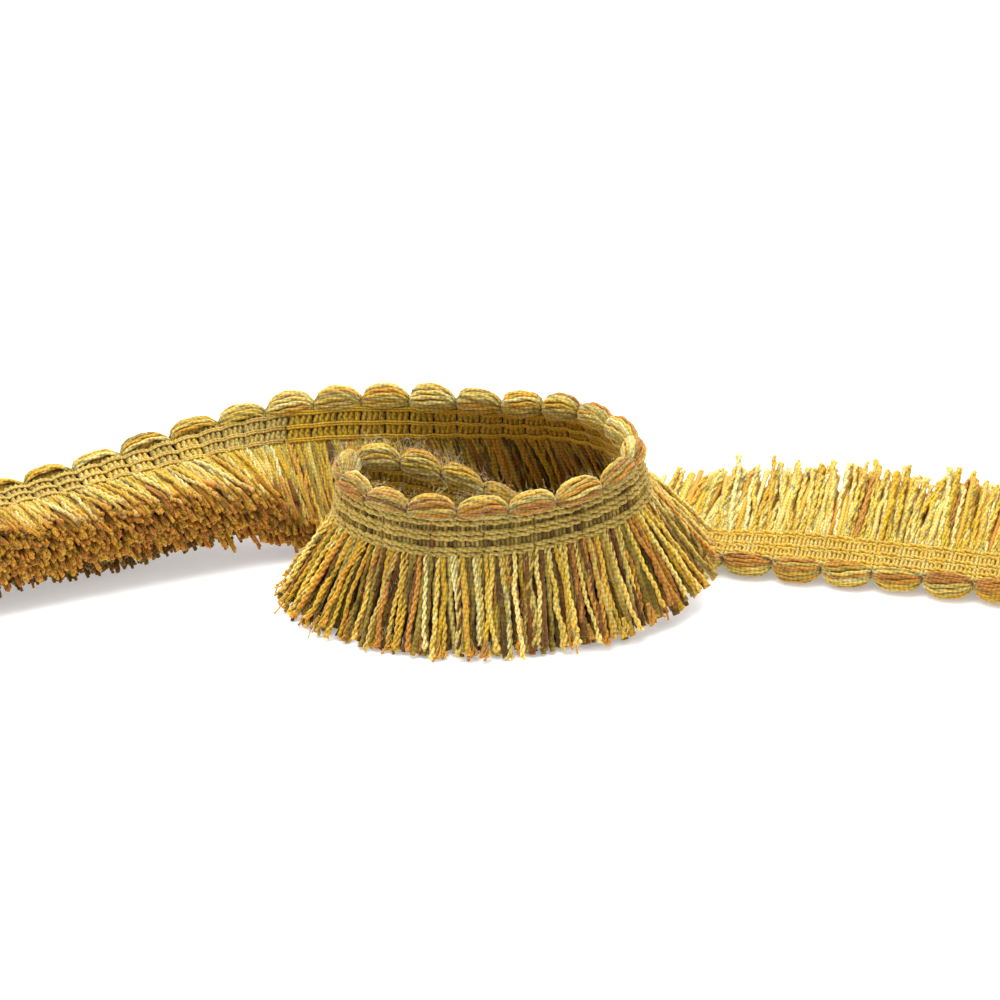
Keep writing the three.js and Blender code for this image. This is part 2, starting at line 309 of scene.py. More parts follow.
class YarnMesh:
    """Gathers yarns, each a tube or a few tubes twisted round each other, into one mesh."""

    FRAY_FROM = 0.6

    def __init__(self) -> None:
        """Starts empty."""
        self._points: list[np.ndarray] = []
        self._corners: list[np.ndarray] = []
        self._sizes: list[np.ndarray] = []
        self._uv: list[np.ndarray] = []
        self._dye: list[np.ndarray] = []
        self._tip: list[np.ndarray] = []
        self._count = 0

    def add(
        self,
        paths: np.ndarray,
        guide: np.ndarray,
        twist: Twist,
        dye: np.ndarray,
        swell: np.ndarray | float = 1.0,
        spread: np.ndarray | float = 1.0,
        phase: np.ndarray | float = 0.0,
        start: float = 0.0,
        fray: np.ndarray | None = None,
    ) -> None:
        """Adds yarns that follow paths of equal numbers of points.

        Args:
            paths: The middle of each yarn, as yarns by points by 3.
            guide: A direction across each yarn, as yarns by 3 or yarns by points by 3.
            twist: How the yarn is spun.
            dye: Place on the dye card, as yarns, yarns by plies, or yarns by plies by points.
            swell: Share by which the plies are thicker, as yarns by points.
            spread: Share by which the plies stand further apart, as yarns by points.
            phase: Turn at which each yarn starts, in radians.
            start: Value of the tip attribute at the first point; it is 1 at the last.
            fray: How far each ply ends beyond its yarn, as yarns by plies.
        """
        yarns, rings, _ = paths.shape
        ahead = unit(np.gradient(paths, axis=1))
        guide = guide if guide.ndim == 3 else np.repeat(guide[:, None], rings, axis=1)
        across = unit(guide - column((guide * ahead).sum(-1)) * ahead)
        third = np.cross(ahead, across)
        steps = np.linalg.norm(np.diff(paths, axis=1), axis=-1)
        length = np.concatenate([np.zeros((yarns, 1)), np.cumsum(steps, axis=1)], axis=1)
        ply = np.arange(twist.plies) / twist.plies
        turn = 2 * np.pi * (length[:, None] / twist.lay + ply[None, :, None])
        turn = turn + np.broadcast_to(np.asarray(phase, float), (yarns,))[:, None, None]
        swell = np.broadcast_to(np.asarray(swell, float), (yarns, rings))[:, None]
        spread = np.broadcast_to(np.asarray(spread, float), (yarns, rings))[:, None]
        first, second = across[:, None], third[:, None]
        middle = paths[:, None] + column(twist.offset * spread) * (
            column(np.cos(turn)) * first + column(np.sin(turn)) * second
        )
        if fray is not None:
            late = smooth((length / length[:, -1:] - self.FRAY_FROM) / (1 - self.FRAY_FROM))
            middle = middle + column(fray[..., None] * late[:, None]) * ahead[:, None]
        side = 2 * np.pi * np.arange(twist.sides) / twist.sides
        rim = column(np.cos(side)) * first[..., None, :] + column(np.sin(side)) * second[..., None, :]
        points = middle[..., None, :] + column(column(twist.radius * swell)) * rim
        tubes = yarns * twist.plies
        points = points.reshape(tubes, rings, twist.sides, 3)
        self._add_tubes(points, np.repeat(length, twist.plies, 0), twist)
        dye = np.asarray(dye, float)
        dye = dye.reshape(dye.shape + (1,) * (3 - dye.ndim))
        dye = np.broadcast_to(dye, (yarns, twist.plies, rings))
        self._dye.append(np.repeat(dye.ravel(), twist.sides))
        tip = start + (1 - start) * length / length[:, -1:]
        self._tip.append(np.repeat(np.repeat(tip, twist.plies, 0).ravel(), twist.sides))

    def _add_tubes(self, points: np.ndarray, length: np.ndarray, twist: Twist) -> None:
        """Adds the faces and the texture places of closed tubes.

        Args:
            points: As tubes by rings by sides by 3.
            length: Distance along each tube, as tubes by rings.
            twist: How the yarn is spun.
        """
        tubes, rings, sides, _ = points.shape
        base = self._count + np.arange(tubes)[:, None, None] * rings * sides
        ring = np.arange(rings - 1)[None, :, None]
        here = np.arange(sides)[None, None, :]
        beside = (here + 1) % sides
        near, far = base + ring * sides, base + (ring + 1) * sides
        quads = np.stack(np.broadcast_arrays(near + here, near + beside, far + beside, far + here), -1)
        girth = 2 * np.pi * twist.radius / sides
        low = np.broadcast_to(length[:, :-1, None], (tubes, rings - 1, sides))
        high = np.broadcast_to(length[:, 1:, None], (tubes, rings - 1, sides))
        left = np.broadcast_to(here * girth, low.shape)
        right = left + girth
        u = np.stack([low, low, high, high], -1)
        v = np.stack([left, right, right, left], -1)
        order = np.arange(sides)
        caps = [base[:, 0] + order[::-1], base[:, 0] + (rings - 1) * sides + order]
        cap_v = [order[::-1] * girth, order * girth]
        self._corners.append(quads.ravel())
        self._sizes.append(np.full(quads.size // 4, 4))
        self._uv.append(np.stack([u.ravel(), v.ravel()], -1))
        for corners, around, at in zip(caps, cap_v, (0, rings - 1)):
            self._corners.append(corners.ravel())
            self._sizes.append(np.full(tubes, sides))
            along = np.repeat(length[:, at], sides)
            self._uv.append(np.stack([along, np.tile(around, tubes)], -1))
        self._points.append(points.reshape(-1, 3))
        self._count += points.size // 3

    def make(
        self, name: str, slot: Slot, replaces: tuple[str, ...], material: bpy.types.Material
    ) -> bpy.types.Object:
        """Makes the mesh object, and ties it to the frame.

        Args:
            name: Name of the piece.
            slot: Not used.
            replaces: CAD nodes that it stands for.
            material: Its finish.

        Returns:
            The object.
        """
        points = np.concatenate(self._points) * MM
        points[:, 2] = np.maximum(points[:, 2], 0.0)
        corners = np.concatenate(self._corners)
        sizes = np.concatenate(self._sizes)
        mesh = bpy.data.meshes.new(name)
        mesh.vertices.add(len(points))
        mesh.vertices.foreach_set("co", points.astype(np.float32).ravel())
        mesh.loops.add(len(corners))
        mesh.loops.foreach_set("vertex_index", corners.astype(np.int32))
        mesh.polygons.add(len(sizes))
        mesh.polygons.foreach_set("loop_start", (np.cumsum(sizes) - sizes).astype(np.int32))
        layer = mesh.uv_layers.new(name="YarnMap")
        layer.uv.foreach_set("vector", np.concatenate(self._uv).astype(np.float32).ravel())
        for label, values in (("dye", self._dye), ("tip", self._tip)):
            attribute = mesh.attributes.new(label, "FLOAT", "POINT")
            attribute.data.foreach_set("value", np.concatenate(values).astype(np.float32))
        mesh.update(calc_edges=True)
        mesh.shade_smooth()
        return place_piece(mesh, name, replaces, material)


def place_piece(
    mesh: bpy.types.Mesh, name: str, replaces: tuple[str, ...], material: bpy.types.Material
) -> bpy.types.Object:
    """Links a mesh as a piece of the object.

    Args:
        mesh: The mesh, in its place.
        name: Name of the piece.
        replaces: CAD nodes that it stands for.
        material: Its finish.

    Returns:
        The object.
    """
    mesh.materials.append(material)
    piece = bpy.data.objects.new(name, mesh)
    bpy.context.scene.collection.objects.link(piece)
    LOG.info("%s: %d triangles", name, len(mesh.loops) - 2 * len(mesh.polygons))
    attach(piece, BODY)
    if replaces:
        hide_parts(*replaces)
    return piece


def add_node(
    tree: bpy.types.NodeTree,
    kind: str,
    settings: dict[str | int, object] | None = None,
    links: dict[str | int, bpy.types.NodeSocket] | None = None,
) -> bpy.types.Node:
    """Adds a node with its settings and links.

    Args:
        tree: The node tree.
        kind: Blender's name of the node type.
        settings: Values of its properties, and of its input sockets where a key is not a property.
        links: Output sockets that feed its inputs.

    Returns:
        The node.
    """
    node = tree.nodes.new(kind)
    for key, value in (settings or {}).items():
        if isinstance(key, str) and hasattr(node, key):
            setattr(node, key, value)
        else:
            node.inputs[key].default_value = value
    for key, source in (links or {}).items():
        tree.links.new(source, node.inputs[key])
    return node


@dataclass(frozen=True)
class SpunYarn:
    """Plied cotton and rayon yarn, spun and space-dyed.

    It gives the eye soft matt fibres that run slantwise round each ply, a groove that winds with the fine
    twist, drawn as painted shade with painted light on its ridges, and colours that drift slowly along the yarn
    and let some light through.
    """

    name: str
    roughness: float = 0.78
    sheen: float = 0.08
    sheen_roughness: float = 0.5
    gloss: float = 0.2
    fibre_mm: float = 0.16
    fibre_slant: float = 20.0
    fibre_stretch: float = 0.45
    # Strength of the fibre streaks, partly painted shade between fibres, and of the twist groove's painted
    # shade and light
    streak: float = 0.2
    groove: float = 0.28
    groove_along_mm: float = 1.4
    groove_round_mm: float = 3.2
    dye_change_mm: float = 12.0
    lumps_per_m: float = 220.0
    lump_drift: float = 0.16
    bump: float = 0.5
    # Colour of the cut ends: partly their own deeper colour, partly painted shade
    tip_hex: str = "#98601a"
    tip_share: float = 0.0
    tip_from: float = 0.6
    tip_full: float = 0.95
    shade: float = 1.0
    depth_share: float = 0.8
    depth_mm: float = 2.2
    depth_colour: tuple[float, float, float] = (1.0, 0.64, 0.24)

    def make(self) -> bpy.types.Material:
        """Builds the material.

        Returns:
            The material.
        """
        material = bpy.data.materials.new(self.name)
        material.use_nodes = True
        tree = material.node_tree
        tree.nodes.clear()
        uv = add_node(tree, "ShaderNodeUVMap", {"uv_map": "YarnMap"}).outputs["UV"]
        fibres = self._fibres(tree, uv)
        colour = self._tip_colour(tree, self._dyed_colour(tree, uv, fibres))
        relief = add_node(
            tree,
            "ShaderNodeBump",
            {"Strength": self.bump, "Distance": self.fibre_mm * MM},
            {"Height": fibres},
        )
        shader = add_node(
            tree,
            "ShaderNodeBsdfPrincipled",
            {
                "Roughness": self.roughness,
                "Sheen Weight": self.sheen,
                "Sheen Roughness": self.sheen_roughness,
                "Specular IOR Level": self.gloss,
                "Subsurface Weight": self.depth_share,
                "Subsurface Radius": self.depth_colour,
                "Subsurface Scale": self.depth_mm * MM,
            },
            {"Base Color": colour, "Normal": relief.outputs["Normal"]},
        )
        add_node(tree, "ShaderNodeOutputMaterial", {}, {"Surface": shader.outputs["BSDF"]})
        return material

    def _fibres(self, tree: bpy.types.NodeTree, uv: bpy.types.NodeSocket) -> bpy.types.NodeSocket:
        """Fibres that slant round the ply: long along it, one fibre wide across it.

        Args:
            tree: The node tree.
            uv: Millimetres along the yarn and round it.

        Returns:
            The pattern, from 0 to 1.
        """
        placed = add_node(
            tree,
            "ShaderNodeMapping",
            {
                "Scale": (self.fibre_stretch, 1 / self.fibre_mm, 1),
                "Rotation": (0, 0, math.radians(self.fibre_slant)),
            },
            {"Vector": uv},
        )
        noise = {"Scale": 1.0, "Detail": 3.0}
        fibres = add_node(tree, "ShaderNodeTexNoise", noise, {"Vector": placed.outputs["Vector"]})
        return fibres.outputs["Fac"]

    def _dyed_colour(
        self, tree: bpy.types.NodeTree, uv: bpy.types.NodeSocket, fibres: bpy.types.NodeSocket
    ) -> bpy.types.NodeSocket:
        """The dye from the card, streaked along the fibres, partly as their own differing tone and partly as
        painted shade between them, with painted shade in the groove of the fine twist and painted light on its
        ridges.

        Args:
            tree: The node tree.
            uv: Millimetres along the yarn and round it.
            fibres: The pattern of the fibres.

        Returns:
            The colour.
        """
        dye = add_node(tree, "ShaderNodeAttribute", {"attribute_name": "dye"})
        # Slow changes along the yarn, as space dyeing leaves them
        change = 1 / self.dye_change_mm
        slow_map = add_node(tree, "ShaderNodeMapping", {"Scale": (change, change, 1)}, {"Vector": uv})
        noise = {"Scale": 1.0, "Detail": 2.0}
        slow = add_node(tree, "ShaderNodeTexNoise", noise, {"Vector": slow_map.outputs["Vector"]})
        # Lumps of a few millimetres across the whole trim shift each dye a little along the card
        place = add_node(tree, "ShaderNodeTexCoord")
        lump_map = add_node(
            tree,
            "ShaderNodeMapping",
            {"Scale": (self.lumps_per_m, self.lumps_per_m, self.lumps_per_m)},
            {"Vector": place.outputs["Object"]},
        )
        lumps = add_node(tree, "ShaderNodeTexNoise", noise, {"Vector": lump_map.outputs["Vector"]})
        drift = add_node(
            tree,
            "ShaderNodeMath",
            {"operation": "MULTIPLY_ADD", 1: self.lump_drift, 2: -self.lump_drift / 2},
            {0: lumps.outputs["Fac"]},
        )
        card = add_node(
            tree, "ShaderNodeMath", {"operation": "ADD"}, {0: dye.outputs["Fac"], 1: drift.outputs["Value"]}
        )
        ramp = add_node(tree, "ShaderNodeValToRGB", {}, {"Fac": card.outputs["Value"]})
        self._fill_card(ramp.color_ramp)
        # Fibre streaks: partly the fibres' own differing tone, partly painted shade between them
        mottle = add_node(
            tree, "ShaderNodeMath", {"operation": "MULTIPLY"}, {0: fibres, 1: slow.outputs["Fac"]}
        )
        value = add_node(
            tree,
            "ShaderNodeMapRange",
            {
                "From Min": 0.12,
                "From Max": 0.42,
                "To Min": self.shade * (1 - self.streak),
                "To Max": self.shade * (1 + 0.6 * self.streak),
            },
            {"Value": mottle.outputs["Value"]},
        )
        # The fine twist is a groove that winds round the ply, drawn as coarse as it needs to show: painted
        # shade in the groove and painted light on the ridges between its turns
        turn = 2 * math.pi
        turns = add_node(
            tree,
            "ShaderNodeVectorMath",
            {"operation": "DOT_PRODUCT", 1: (turn / self.groove_along_mm, turn / self.groove_round_mm, 0)},
            {0: uv},
        )
        wound = add_node(tree, "ShaderNodeMath", {"operation": "SINE"}, {0: turns.outputs["Value"]})
        groove = add_node(
            tree,
            "ShaderNodeMapRange",
            {
                "From Min": -1.0,
                "From Max": 1.0,
                "To Min": 1 - 0.9 * self.groove,
                "To Max": 1 + 0.6 * self.groove,
            },
            {"Value": wound.outputs["Value"]},
        )
        both = add_node(
            tree,
            "ShaderNodeMath",
            {"operation": "MULTIPLY"},
            {0: value.outputs["Result"], 1: groove.outputs["Result"]},
        )
        shaded = add_node(
            tree,
            "ShaderNodeVectorMath",
            {"operation": "SCALE"},
            {"Vector": ramp.outputs["Color"], "Scale": both.outputs["Value"]},
        )
        return shaded.outputs["Vector"]

    def _tip_colour(self, tree: bpy.types.NodeTree, colour: bpy.types.NodeSocket) -> bpy.types.NodeSocket:
        """The colour, turned towards that of the cut ends along the last part of the yarn: partly the ends' own
        deeper colour, partly painted shade on the cut face.

        Args:
            tree: The node tree.
            colour: The yarn's own colour.

        Returns:
            The colour with its tips.
        """
        if self.tip_share == 0:
            return colour
        tip = add_node(tree, "ShaderNodeAttribute", {"attribute_name": "tip"})
        share = add_node(
            tree,
            "ShaderNodeMapRange",
            {"From Min": self.tip_from, "From Max": self.tip_full, "To Min": 0.0, "To Max": self.tip_share},
            {"Value": tip.outputs["Fac"]},
        )
        mixed = add_node(
            tree,
            "ShaderNodeMix",
            {"data_type": "RGBA", 7: linear(self.tip_hex)},
            {0: share.outputs["Result"], 6: colour},
        )
        return mixed.outputs[2]

    @staticmethod
    def _fill_card(ramp: bpy.types.ColorRamp) -> None:
        """Puts the dyes on the ramp, evenly spaced."""
        dyes = list(Dye)
        while len(ramp.elements) < len(dyes):
            ramp.elements.new(0.5)
        for number, dye in enumerate(dyes):
            ramp.elements[number].position = number / (len(dyes) - 1)
        for number, dye in enumerate(dyes):
            ramp.elements[number].color = linear(DYE_HEX[dye])


def pick_dyes(
    rng: np.random.Generator, weights: dict[Dye, float], shape: tuple[int, ...], stray: float
) -> np.ndarray:
    """Draws dyes at random.

    Args:
        rng: The source of random numbers.
        weights: How often each dye comes.
        shape: Shape of the result.
        stray: How far a yarn may differ from its dye, in steps of the dye card.

    Returns:
        Places on the dye card, from 0 to 1.
    """
    dyes = list(weights)
    odds = np.array([weights[dye] for dye in dyes], float)
    drawn = rng.choice([dye.value for dye in dyes], size=shape, p=odds / odds.sum())
    return np.clip((drawn + rng.uniform(-stray, stray, shape)) / (len(Dye) - 1), 0, 1)


@dataclass
class BrushLayer:
    """Yarns of the brush over one stretch, between two depths of its thickness.

    Depth is 0 at the brush's outer face and 1 at its inner one.
    """

    name: str
    first: float
    last: float
    per_puff: float
    rows: int
    depth: tuple[float, float]
    twist: Twist
    rings: int
    dyes: dict[Dye, float]
    seed: int
    replaces: tuple[str, ...] = ("brush_wall",)
    uneven: float = 1.2
    stray_angle: float = 3.0
    stray_drag: float = 4.0
    wave: float = 0.5
    bow: float = 0.8
    clump: float = 0.35
    bloom: float = 0.35
    marl: float = 0.5
    fray: float = 0.3
    from_share: float = 0.0
    droop: float = 0.0
    reach: float = STRAND_LENGTH
    # Takes the finish whose ends are browned, partly as painted shade
    golden_tips: bool = False

    ALONG_JITTER = 0.35
    DEPTH_JITTER = 0.45
    BLOOM_RANGE = (0.3, 1.6)
    THICK_RANGE = (0.86, 1.14)
    THICK_WAVER = 0.06
    DROOP_RANGE = (0.5, 1.15)
    DYE_STRAY = 0.4
    MARL_SHARE = 0.25
    OPEN_FROM = 0.86
    CLUMP_GAP = 0.3
    CLUMP_BEAT = 12.9
    ROOT_DIP = 1.2
    LEAST_REACH = 6

    def build(self, lie: Lie, material: bpy.types.Material) -> bpy.types.Object:
        """Makes the layer.

        Args:
            lie: The way that the trim lies.
            material: Its finish.

        Returns:
            The piece.
        """
        rng = np.random.default_rng(self.seed)
        along = max(2, round((self.last - self.first) * self.per_puff))
        number = np.tile(np.arange(along), self.rows)
        row = np.repeat(np.arange(self.rows), along)
        total = number.size
        pitch = (self.last - self.first) / along
        along_stray = rng.uniform(-self.ALONG_JITTER, self.ALONG_JITTER, total)
        puff = self.first + (number + 0.5 + 0.5 * (row % 2) + along_stray) * pitch
        puff = np.clip(puff, self.first, self.last)
        low, high = self.depth
        depth_stray = rng.uniform(-self.DEPTH_JITTER, self.DEPTH_JITTER, total)
        depth = low + (high - low) * (row + 0.5 + depth_stray) / self.rows
        paths, guide = self._paths(lie, rng, puff, depth)
        dye = pick_dyes(rng, self.dyes, (total, 1), self.DYE_STRAY)
        dye = np.repeat(dye, self.twist.plies, axis=1)
        other = pick_dyes(rng, self.dyes, dye.shape, self.DYE_STRAY)
        marled = rng.random((total, 1)) < self.marl
        second_ply = np.arange(self.twist.plies) % 2 == 1
        dye = np.where(marled & second_ply, dye + self.MARL_SHARE * (other - dye), dye)
        share = np.linspace(self.from_share, 1, self.rings)[None]
        opened = smooth((share - self.OPEN_FROM) / (1 - self.OPEN_FROM))
        bloom = self.bloom * rng.uniform(*self.BLOOM_RANGE, (total, 1))
        thick = rng.uniform(*self.THICK_RANGE, (total, 1))
        thick = thick * (1 + self.THICK_WAVER * rng.standard_normal((total, self.rings)))
        yarns = YarnMesh()
        yarns.add(
            paths,
            guide,
            self.twist,
            dye,
            swell=thick * (1 + bloom * opened),
            spread=1 + 1.5 * bloom * opened,
            phase=rng.uniform(0, 2 * np.pi, total),
            start=self.from_share,
            fray=rng.normal(0, self.fray, (total, self.twist.plies)),
        )
        return yarns.make(self.name, Slot.BRUSH, self.replaces, material)

    def _paths(
        self, lie: Lie, rng: np.random.Generator, puff: np.ndarray, depth: np.ndarray
    ) -> tuple[np.ndarray, np.ndarray]:
        """The middle of each yarn.

        Args:
            lie: The way that the trim lies.
            rng: The source of random numbers.
            puff: Puff count of each root.
            depth: Depth of each yarn in the brush.

        Returns:
            The paths, and a direction across each.
        """
        total = puff.size
        spot = lie.at(puff)
        # Neighbours cling together: each leans towards the nearest of a loose row of clumps
        clump = np.round(puff / self.CLUMP_GAP)
        centre = (clump + 0.3 * np.sin(self.CLUMP_BEAT * clump)) * self.CLUMP_GAP
        pull = self.clump * (centre - puff) * PUFF_LENGTH
        pull_angle = np.degrees(np.arctan2(pull, STRAND_LENGTH))
        angle = spot.outer + (spot.inner - spot.outer) * depth + rng.normal(0, self.stray_angle, total)
        drag = pull_angle + rng.normal(0, self.stray_drag, total)
        direction = spot.strand(angle, drag)
        off = ROOT_HALF * (1 - 2 * depth)
        start = spot.on_band(HEADING_REACH - self.ROOT_DIP, 0.6 * off)
        origin = spot.on_band(HEADING_REACH, off)
        wanted = self.reach + rng.normal(0, self.uneven, total)
        keep_up = self.twist.radius + self.twist.offset
        fall = np.maximum(-direction[:, 2], 1e-3)
        floor_reach = np.where(direction[:, 2] < -1e-3, (origin[:, 2] - 0.6 * keep_up) / fall, 1e3)
        reach = np.minimum(wanted, np.maximum(floor_reach, self.LEAST_REACH))
        end = origin + column(reach) * direction
        share = np.linspace(self.from_share, 1, self.rings)[None, :, None]
        paths = start[:, None] + (end - start)[:, None] * share
        normal = unit(np.cross(spot.travel, direction))
        side = unit(np.cross(direction, normal))
        bow = self.bow * rng.normal(0.2, 0.6, (total, 1, 1))
        paths = paths + bow * np.sin(np.pi * share) * normal[:, None]
        for across, amount in ((side, 1.0), (normal, 0.5)):
            for turns, size in ((1.1, 1.0), (2.7, 0.45)):
                phase = rng.uniform(0, 2 * np.pi, (total, 1, 1))
                height = self.wave * amount * size * rng.normal(0, 0.7, (total, 1, 1))
                wave = np.sin(2 * np.pi * turns * share + phase) - np.sin(phase)
                paths = paths + height * wave * np.minimum(1, 2.5 * share) * across[:, None]
        paths[..., 2] -= self.droop * share[..., 0] ** 2 * rng.uniform(*self.DROOP_RANGE, (total, 1))
        paths[..., 2] = np.maximum(paths[..., 2], 0.7 * keep_up)
        return paths, normal


@dataclass
class ScallopEdge:
    """The edge of the trim: a bundle of yarns that swells into a puff between its nips."""

    yarns: int = 17
    rings_per_puff: int = 10
    tall: float = 4.6
    wide: float = 4.0
    nip: float = 0.7
    puff_down: float = 0.9
    nip_down: float = 2.2
    body: float = 0.92
    fullness: float = 2.5
    front_squash: float = 0.5
    hollow: tuple[float, float] = (-98, -136)
    front: float = 165
    push: float = 0.1
    uneven: float = 0.12
    wander: float = 0.12
    size_change: float = 0.07
    slant: float = 0.16
    core_radius: float = 1.0
    core_dye: float = 0.33
    seed: int = 11
    top_dyes: dict[Dye, float] = field(
        default_factory=lambda: {Dye.STRAW: 5, Dye.GOLD: 3, Dye.CREAM: 0.8, Dye.MOSS: 4, Dye.OCHRE: 0.6}
    )
    low_dyes: dict[Dye, float] = field(
        default_factory=lambda: {Dye.TERRACOTTA: 6, Dye.RUST: 0.6, Dye.OCHRE: 1, Dye.MOSS: 2.5, Dye.STRAW: 1}
    )

    def build(self, lie: Lie, material: bpy.types.Material) -> list[bpy.types.Object]:
        """Makes the puffs and the core that they hide.

        Args:
            lie: The way that the trim lies.
            material: Their finish.

        Returns:
            The pieces.
        """
        rng = np.random.default_rng(self.seed)
        rings = round((LAST_NIP - FIRST_NIP) * self.rings_per_puff) + 1
        puff = np.linspace(FIRST_NIP, LAST_NIP, rings)
        # Seen from their backs, the puffs of the left stretch and the back lean towards the left end
        at_puff = puff - np.round(puff)
        pushed = self.push * (1 - smooth((puff - 9) / 3)) * (1 - 4 * at_puff**2)
        from_middle = 2 * np.abs(at_puff + pushed)
        swell = np.sqrt(np.clip(1 - (from_middle / self.body) ** self.fullness, 0, 1))
        spot = lie.at(puff)
        # On the lying left stretch the yarns stop short behind, and the hollow of each puff shows
        low = self.hollow[0] + (self.hollow[1] - self.hollow[0]) * smooth((puff - 3) / 3)
        edge = YarnMesh()
        size = 1 + self.size_change * np.sin(2.3 * np.round(puff))
        slant = self.slant * np.sin(np.pi * at_puff) * (1 + 0.5 * np.sin(4.1 * np.round(puff)))
        middle_down = self.nip_down + (self.puff_down - self.nip_down) * swell
        thickness = SCALLOP_YARN.radius + SCALLOP_YARN.offset
        for number in range(self.yarns):
            share = number / (self.yarns - 1)
            angle = np.radians(low + (self.front - low) * share)
            stray = np.cumsum(rng.normal(0, 0.03, rings))
            stray -= np.linspace(0, stray[-1], rings)
            wander = self.wander * np.sin(1.7 * puff + number)
            turned = angle + slant + wander + 0.3 * np.clip(stray, -0.3, 0.3)
            uneven = self.uneven * np.sin(7.1 * puff + 2.3 * number)
            tall = self.nip + (self.tall * size - thickness - self.nip) * swell + uneven
            wide = self.nip + (self.wide * size - thickness - self.nip) * swell + uneven
            # The cords of the heading hold the front of a puff up
            drop = np.where((np.cos(turned) < 0) & (np.sin(turned) > 0), self.front_squash, 1)
            path = spot.on_band(middle_down - drop * tall * np.cos(turned), wide * np.sin(turned))
            lower = smooth(np.array((share - 0.5) / 0.2))
            dyes = self.low_dyes if rng.random() < lower else self.top_dyes
            knots = pick_dyes(rng, dyes, (round(LAST_NIP - FIRST_NIP) + 1,), 0.5)
            self._add_by_puff(edge, path, spot.face, knots, 0.88 + 0.34 * swell, number)
        core = YarnMesh()
        middle = spot.on_band(middle_down, np.zeros_like(puff))
        thick = Twist(plies=1, sides=8, radius=self.core_radius, offset=0.0, lay=1.0)
        filled = 0.9 + (0.9 + 1.15 * smooth((puff - 3) / 4)) * swell
        core.add(middle[None], spot.face[None], thick, [self.core_dye], swell=filled[None])
        return [
            edge.make("scallop_puffs", Slot.SCALLOP, ("scallop_edge",), material),
            core.make("scallop_core", Slot.SCALLOP, ("scallop_edge",), material),
        ]

    def _add_by_puff(
        self,
        edge: YarnMesh,
        path: np.ndarray,
        face: np.ndarray,
        knots: np.ndarray,
        thick: np.ndarray,
        number: int,
    ) -> None:
        """Adds one yarn puff by puff, so that its dye can change at a nip.

        Args:
            edge: The mesh.
            path: The yarn's middle along the whole trim.
            face: A direction across it at each point.
            knots: Its place on the dye card at each puff.
            thick: Share by which it is thicker at each point.
            number: Number of the yarn round the bundle.
        """
        per = self.rings_per_puff
        starts = range(0, len(path) - 1, per)
        paths = np.stack([path[at : at + per + 1] for at in starts])
        guides = np.stack([face[at : at + per + 1] for at in starts])
        swell = np.stack([thick[at : at + per + 1] for at in starts])
        edge.add(paths, guides, SCALLOP_YARN, knots[: len(paths)], swell=swell, phase=0.9 * number)


